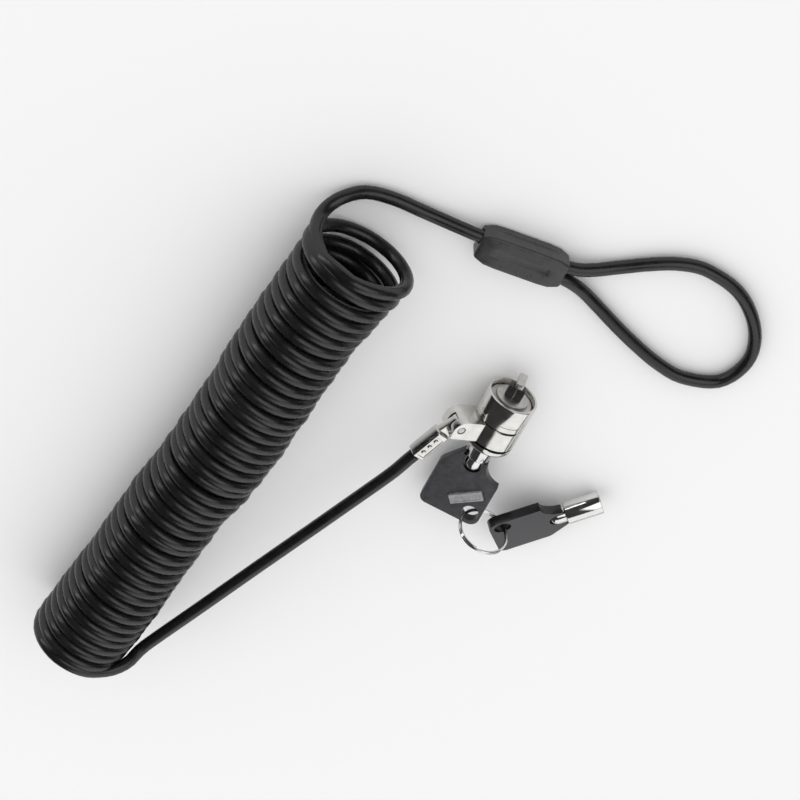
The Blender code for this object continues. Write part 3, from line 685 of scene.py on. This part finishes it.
def mottle(material, shader, scale, stretch, low, high, colours=None, bump=0.0, fine=0.0, bumpScale=1.0):
    # noise that varies the roughness, the colour and the height
    link = material.node_tree.links.new
    place = addNode(material, "ShaderNodeTexCoord")
    mapping = addNode(material, "ShaderNodeMapping")
    mapping.inputs["Scale"].default_value = stretch
    link(place.outputs["Object"], mapping.inputs["Vector"])
    noise = addNode(material, "ShaderNodeTexNoise", Scale=scale, Detail=5.0, Roughness=0.6)
    link(mapping.outputs["Vector"], noise.inputs["Vector"])
    span = addNode(material, "ShaderNodeMapRange")
    span.inputs["From Min"].default_value = 0.3
    span.inputs["From Max"].default_value = 0.7
    span.inputs["To Min"].default_value = low
    span.inputs["To Max"].default_value = high
    link(noise.outputs["Fac"], span.inputs["Value"])
    link(span.outputs["Result"], shader.inputs["Roughness"])
    if colours:
        ramp = addNode(material, "ShaderNodeValToRGB")
        ramp.color_ramp.elements[0].position = 0.32
        ramp.color_ramp.elements[1].position = 0.68
        ramp.color_ramp.elements[0].color = (*colours[0], 1)
        ramp.color_ramp.elements[1].color = (*colours[1], 1)
        link(noise.outputs["Fac"], ramp.inputs["Fac"])
        link(ramp.outputs["Color"], shader.inputs["Base Color"])
    if bump:
        grain = addNode(material, "ShaderNodeTexNoise", Scale=scale * bumpScale, Detail=3.0, Roughness=0.5)
        link(mapping.outputs["Vector"], grain.inputs["Vector"])
        height = addNode(material, "ShaderNodeBump", Strength=bump, Distance=fine)
        link(grain.outputs["Fac"], height.inputs["Height"])
        link(height.outputs["Normal"], shader.inputs["Normal"])


looks = {}


def finishNamed(name, colour, roughness, metallic, **grain):
    material, shader = startMaterial(name, colour, roughness, metallic)
    mottle(material, shader, **grain)
    looks[name] = material
    return shader


jacket = finishNamed("glossyJacket", (0.008, 0.008, 0.009), 0.26, 0.0, scale=260, stretch=(1, 1, 1), low=0.22,
                     high=0.34, colours=((0.006, 0.006, 0.007), (0.011, 0.011, 0.012)), bump=0.12,
                     fine=0.0002, bumpScale=6)
jacket.inputs["Specular IOR Level"].default_value = 0.55
finishNamed("mouldedCover", (0.03, 0.03, 0.032), 0.3, 0.0, scale=420, stretch=(1, 1, 1), low=0.24, high=0.38,
            colours=((0.024, 0.024, 0.026), (0.04, 0.04, 0.043)), bump=0.15, fine=0.0002, bumpScale=4)
finishNamed("polishedNickel", (0.74, 0.73, 0.70), 0.14, 1.0, scale=300, stretch=(1, 1, 1), low=0.08, high=0.2,
            colours=((0.68, 0.67, 0.64), (0.80, 0.79, 0.76)), bump=0.06, fine=0.0001, bumpScale=5)
finishNamed("satinNickel", (0.6, 0.59, 0.56), 0.36, 1.0, scale=500, stretch=(1, 6, 1), low=0.28, high=0.44,
            colours=((0.52, 0.51, 0.49), (0.68, 0.67, 0.64)), bump=0.2, fine=0.0001, bumpScale=3)
finishNamed("turnedBrass", (0.72, 0.55, 0.25), 0.28, 1.0, scale=400, stretch=(1, 4, 1), low=0.2, high=0.36,
            colours=((0.62, 0.46, 0.2), (0.78, 0.6, 0.3)), bump=0.1, fine=0.0001, bumpScale=4)
finishNamed("bareSteel", (0.55, 0.55, 0.56), 0.32, 1.0, scale=600, stretch=(1, 1, 1), low=0.24, high=0.42,
            colours=((0.46, 0.46, 0.47), (0.62, 0.62, 0.63)), bump=0.2, fine=0.0002, bumpScale=3)
finishNamed("keyChrome", (0.78, 0.78, 0.77), 0.12, 1.0, scale=350, stretch=(1, 1, 1), low=0.07, high=0.18,
            colours=((0.72, 0.72, 0.71), (0.84, 0.84, 0.83)), bump=0.05, fine=0.0001, bumpScale=4)
finishNamed("keyPlastic", (0.045, 0.045, 0.05), 0.5, 0.0, scale=500, stretch=(1, 1, 1), low=0.42, high=0.58,
            colours=((0.036, 0.036, 0.04), (0.06, 0.06, 0.066)), bump=0.35, fine=0.0002, bumpScale=5)
finishNamed("keyEdge", (0.01, 0.01, 0.011), 0.2, 0.0, scale=400, stretch=(1, 1, 1), low=0.16, high=0.26,
            colours=((0.008, 0.008, 0.009), (0.014, 0.014, 0.015)), bump=0.1, fine=0.0001, bumpScale=4)
finishNamed("guardBlack", (0.02, 0.02, 0.02), 0.34, 0.0, scale=400, stretch=(1, 1, 1), low=0.28, high=0.42,
            colours=((0.014, 0.014, 0.014), (0.03, 0.03, 0.03)), bump=0.2, fine=0.0001, bumpScale=4)
finishNamed("badgeGrey", (0.3, 0.3, 0.31), 0.45, 0.0, scale=500, stretch=(1, 1, 1), low=0.36, high=0.54,
            colours=((0.25, 0.25, 0.26), (0.38, 0.38, 0.39)), bump=0.2, fine=0.0002, bumpScale=4)


def paint(piece, look):
    piece.data.materials.clear()
    piece.data.materials.append(looks[look])


def place(piece, body, look, slotName, nodes):
    paint(piece, look)
    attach(piece, body)
    if nodes:
        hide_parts(*nodes)


place(securityCable, "cable", "glossyJacket", "cable_jacket", ["cable_coil", "cable_loop", "cable_tail"])
place(loopCover, "cable", "mouldedCover", "sleeve_plastic", ["loop_cover"])
place(cableFerrule, "cable", "polishedNickel", "crimp_metal", ["cable_ferrule"])
place(swivelRing, "yoke", "polishedNickel", "lock_nickel", ["swivel_ring"])
place(lockBarrel, "lock", "polishedNickel", "lock_nickel", ["lock_body"])
place(rearCap, "lock", "polishedNickel", "lock_nickel", ["rear_cap"])
place(nosePlate, "lock", "satinNickel", "satin_nickel", ["nose_plate"])
place(guardBlock, "lock", "guardBlack", "satin_nickel", ["nose_plate"])
place(tBarHead, "plug", "satinNickel", "satin_nickel", ["t_bar"])
place(splitRing, "ring", "keyChrome", "ring_nickel", ["key_ring"])
for pieces, body, node in ((keyPieces, "key", "key"), (sparePieces, "spare_key", "spare_key")):
    place(pieces[0], body, "keyChrome", "key_chrome", [node + "_barrel"])
    place(pieces[1], body, "keyPlastic", "key_plastic", [node + "_head"])
    place(pieces[2], body, "badgeGrey", "badge_grey", [node + "_badge"])

# the heads' broad faces are matte and their edges are glossy
for pieces, keyAt in ((keyPieces, keyPlace), (sparePieces, sparePlace)):
    head, faceWay = pieces[1], keyAt.to_3x3() @ Vector((0, 1, 0))
    head.data.materials.append(looks["keyEdge"])
    for face in head.data.polygons:
        face.material_index = int(abs(face.normal.dot(faceWay)) < 0.97)

keptLooks = {
    "crimp_metal": "polishedNickel", "steel_strand": "bareSteel", "spring_steel": "bareSteel",
    "brass": "turnedBrass", "satin_nickel": "satinNickel",
}
slotOf = {part["node"]: part["material_slot"] for part in frame["record"]["subparts"]}
for node, piece in frame["nodes"].items():
    if slotOf[node] in keptLooks:
        for slot in piece.material_slots:
            slot.material = looks[keptLooks[slotOf[node]]]

print("materials and places set")


# studio

studio = {"floor": 3.0, "sky": 1.0, "reflected": 0.05, "floorMirrored": 0.8}

deselectAll()
bpy.ops.mesh.primitive_plane_add(size=studio["floor"], location=(0, 0, (floorZ - 0.35) * mm))
floor = newest("floor")
floorLook, floorShader = startMaterial("paleFloor", (0.93, 0.93, 0.93), 0.9)
floorShader.inputs["Specular IOR Level"].default_value = 0.0
floorNodes = floorLook.node_tree.nodes
floorLink = floorLook.node_tree.links.new
# the metal mirrors a darker floor than the one that is seen
dimmer = addNode(floorLook, "ShaderNodeBsdfDiffuse", Color=(*[studio["floorMirrored"]] * 3, 1))
floorRays = addNode(floorLook, "ShaderNodeLightPath")
floorMix = addNode(floorLook, "ShaderNodeMixShader")
floorLink(floorRays.outputs["Is Glossy Ray"], floorMix.inputs["Fac"])
floorLink(floorShader.outputs["BSDF"], floorMix.inputs[1])
floorLink(dimmer.outputs["BSDF"], floorMix.inputs[2])
floorLink(floorMix.outputs["Shader"], floorNodes["Material Output"].inputs["Surface"])
floor.data.materials.append(floorLook)


def softbox(name, way, distance, size, power):
    lamp = bpy.data.lights.new(name, "AREA")
    lamp.shape = "RECTANGLE"
    lamp.size, lamp.size_y = size
    lamp.energy = power
    light = bpy.data.objects.new(name, lamp)
    light.visible_diffuse = False
    bpy.context.scene.collection.objects.link(light)
    target = Vector((0.03, 0.05, 0))
    spot = target + Vector(way).normalized() * distance
    light.matrix_world = Matrix.Translation(spot) @ (spot - target).to_track_quat("Z", "Y").to_matrix().to_4x4()
    return light


softbox("wideLight", (-0.243, -0.445, 0.861), 0.95, (0.9, 0.8), 3.0)
softbox("upperLight", (-0.56, 0.58, 0.59), 0.95, (1.3, 1.1), 4.6)
softbox("sideLight", (0.90, -0.38, 0.22), 0.9, (0.9, 0.16), 1.5)

world = bpy.data.worlds.new("studioSky")
bpy.context.scene.world = world
world.use_nodes = True
sky = world.node_tree.nodes["Background"]
sky.inputs["Color"].default_value = (1, 1, 1, 1)
sky.inputs["Strength"].default_value = studio["sky"]
# the room the metal mirrors is dark apart from the softboxes and the floor
room = world.node_tree.nodes.new("ShaderNodeBackground")
room.inputs["Strength"].default_value = studio["reflected"]
rays = world.node_tree.nodes.new("ShaderNodeLightPath")
choose = world.node_tree.nodes.new("ShaderNodeMixShader")
world.node_tree.links.new(rays.outputs["Is Glossy Ray"], choose.inputs["Fac"])
world.node_tree.links.new(sky.outputs["Background"], choose.inputs[1])
world.node_tree.links.new(room.outputs["Background"], choose.inputs[2])
world.node_tree.links.new(choose.outputs["Shader"], world.node_tree.nodes["World Output"].inputs["Surface"])
bpy.context.scene.view_settings.view_transform = "Standard"
print("studio lit")
